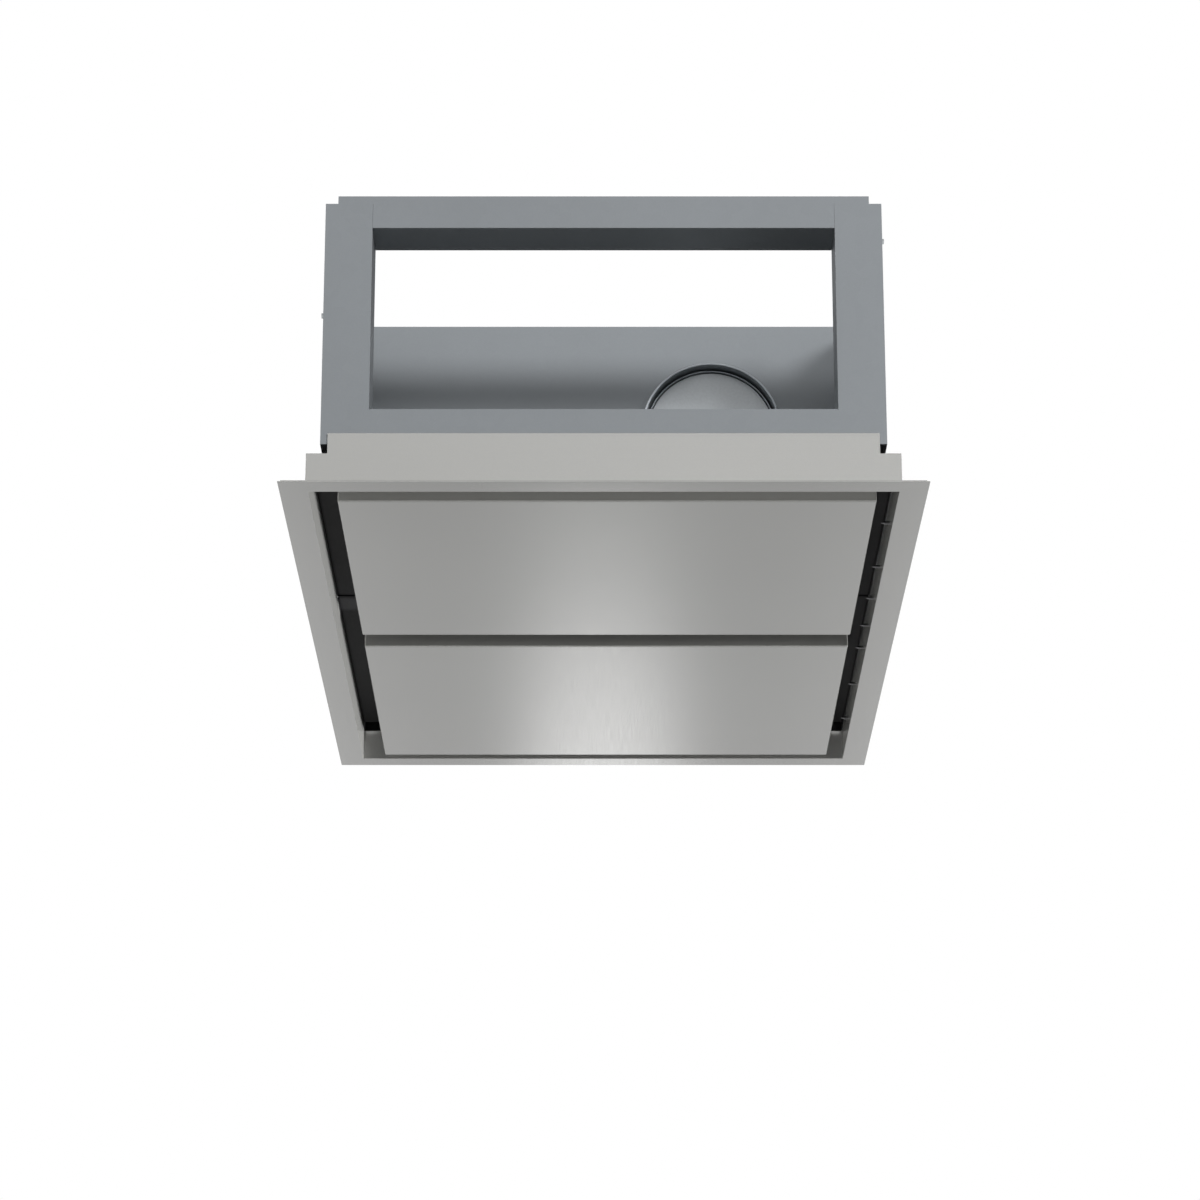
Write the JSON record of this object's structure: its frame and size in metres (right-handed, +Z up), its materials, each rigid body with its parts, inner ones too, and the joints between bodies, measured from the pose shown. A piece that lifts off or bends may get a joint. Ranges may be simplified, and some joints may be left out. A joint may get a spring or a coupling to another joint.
{
  "type": "ceiling range hood",
  "caption": "Flush ceiling range hood with galvanised mounting frame, stainless trim, two hinged edge-suction panels, grease filters, fan box and round duct outlet.",
  "frame": {"origin": "centre of the four ceiling bolt holes, on the top plane of the mounting frame", "axes": "+Z up towards the ceiling, +Y along the hood away from the end seen in the picture, +X across the hood"},
  "size_m": [0.7, 1.1, 0.35],
  "materials": {
    "galvanised_steel": "zinc coated, matt",
    "stainless_steel": "fine brushed",
    "black_steel": "matt black",
    "filter_aluminium": "satin",
    "mesh_aluminium": "expanded mesh",
    "latch_steel": "satin",
    "zinc_steel": "zinc plated",
    "flap_aluminium": "satin",
    "catch_plastic": "matt black",
    "magnet_steel": "ferrite",
    "scroll_steel": "zinc coated",
    "impeller_aluminium": "satin",
    "mount_rubber": "matt",
    "rotor_steel": "satin",
    "stator_steel": "laminated",
    "winding_copper": "enamelled copper",
    "shaft_steel": "ground",
    "motor_aluminium": "cast",
    "control_plastic": "matt",
    "board_laminate": "laminate",
    "terminal_plastic": "matt"
  },
  "bodies": {
    "mounting_frame": {"front_end_frame": "galvanised_steel", "rear_end_frame": "galvanised_steel", "front_top_beam": "galvanised_steel", "rear_top_beam": "galvanised_steel", "left_side_panel": "galvanised_steel", "right_side_panel": "galvanised_steel", "left_side_screws": "zinc_steel", "right_side_screws": "zinc_steel", "beam_rivets": "zinc_steel", "trim_frame": "stainless_steel", "collar_screws": "zinc_steel", "front_filter_housing": "black_steel", "rear_filter_housing": "black_steel", "rear_closing_strip": "black_steel", "plenum_plate": "galvanised_steel", "front_filter_frame": "filter_aluminium", "front_filter_mesh": "mesh_aluminium", "rear_filter_frame": "filter_aluminium", "rear_filter_mesh": "mesh_aluminium", "front_hinge_brackets": "zinc_steel", "front_hinge_pins": "zinc_steel", "rear_hinge_brackets": "zinc_steel", "rear_hinge_pins": "zinc_steel", "catch_housings": "catch_plastic", "catch_magnets": "magnet_steel", "fan_box_body": "galvanised_steel", "fan_box_lid": "galvanised_steel", "fan_box_screws": "zinc_steel", "scroll_body": "scroll_steel", "scroll_top_plate": "scroll_steel", "inlet_cone": "galvanised_steel", "rubber_mounts": "mount_rubber", "motor_stator": "stator_steel", "motor_windings": "winding_copper", "motor_shaft": "shaft_steel", "motor_flange": "motor_aluminium", "motor_screws": "zinc_steel", "outlet_collar": "galvanised_steel", "damper_ring": "galvanised_steel", "damper_spindle": "zinc_steel", "control_box": "control_plastic", "control_box_lid": "control_plastic", "circuit_board": "board_laminate", "terminal_block": "terminal_plastic", "cable_gland": "control_plastic"},
    "front_panel": {"front_panel_shell": "stainless_steel", "front_panel_back": "galvanised_steel", "front_hinge_leaves": "zinc_steel", "front_strike_plates": "zinc_steel"},
    "rear_panel": {"rear_panel_shell": "stainless_steel", "rear_panel_back": "galvanised_steel", "rear_hinge_leaves": "zinc_steel", "rear_strike_plates": "zinc_steel"},
    "fan_wheel": {"impeller": "impeller_aluminium", "motor_rotor": "rotor_steel", "motor_bearing": "shaft_steel"},
    "front_latch": {"front_filter_latch": "latch_steel"},
    "rear_latch": {"rear_filter_latch": "latch_steel"},
    "upper_flap": {"upper_damper_flap": "flap_aluminium"},
    "lower_flap": {"lower_damper_flap": "flap_aluminium"}
  },
  "joints": [
    {"name": "front_panel_hinge", "type": "hinge", "parent": "mounting_frame", "child": "front_panel", "pos_m": [-0.28, -0.25825, -0.3255], "axis": [0, 1, 0], "range_deg": [0, 90]},
    {"name": "rear_panel_hinge", "type": "hinge", "parent": "mounting_frame", "child": "rear_panel", "pos_m": [-0.28, 0.25825, -0.3255], "axis": [0, 1, 0], "range_deg": [0, 90]},
    {"name": "fan_spin", "type": "hinge", "parent": "mounting_frame", "child": "fan_wheel", "pos_m": [0, 0, -0.1], "axis": [0, 0, 1], "continuous": true},
    {"name": "front_latch_slide", "type": "slide", "parent": "mounting_frame", "child": "front_latch", "axis": [0, -1, 0], "range_m": [0, 0.006], "stiffness_N_per_m": 400, "springref_m": -0.004},
    {"name": "rear_latch_slide", "type": "slide", "parent": "mounting_frame", "child": "rear_latch", "axis": [0, 1, 0], "range_m": [0, 0.006], "stiffness_N_per_m": 400, "springref_m": -0.004},
    {"name": "upper_flap_hinge", "type": "hinge", "parent": "mounting_frame", "child": "upper_flap", "pos_m": [0.127, -0.1725, -0.147], "axis": [1, 0, 0], "range_deg": [0, 78], "stiffness_Nm_per_rad": 0.02, "springref_deg": -17.19},
    {"name": "lower_flap_hinge", "type": "hinge", "parent": "mounting_frame", "child": "lower_flap", "pos_m": [0.127, -0.1725, -0.147], "axis": [-1, 0, 0], "range_deg": [0, 78], "stiffness_Nm_per_rad": 0.02, "springref_deg": -17.19}
  ]
}
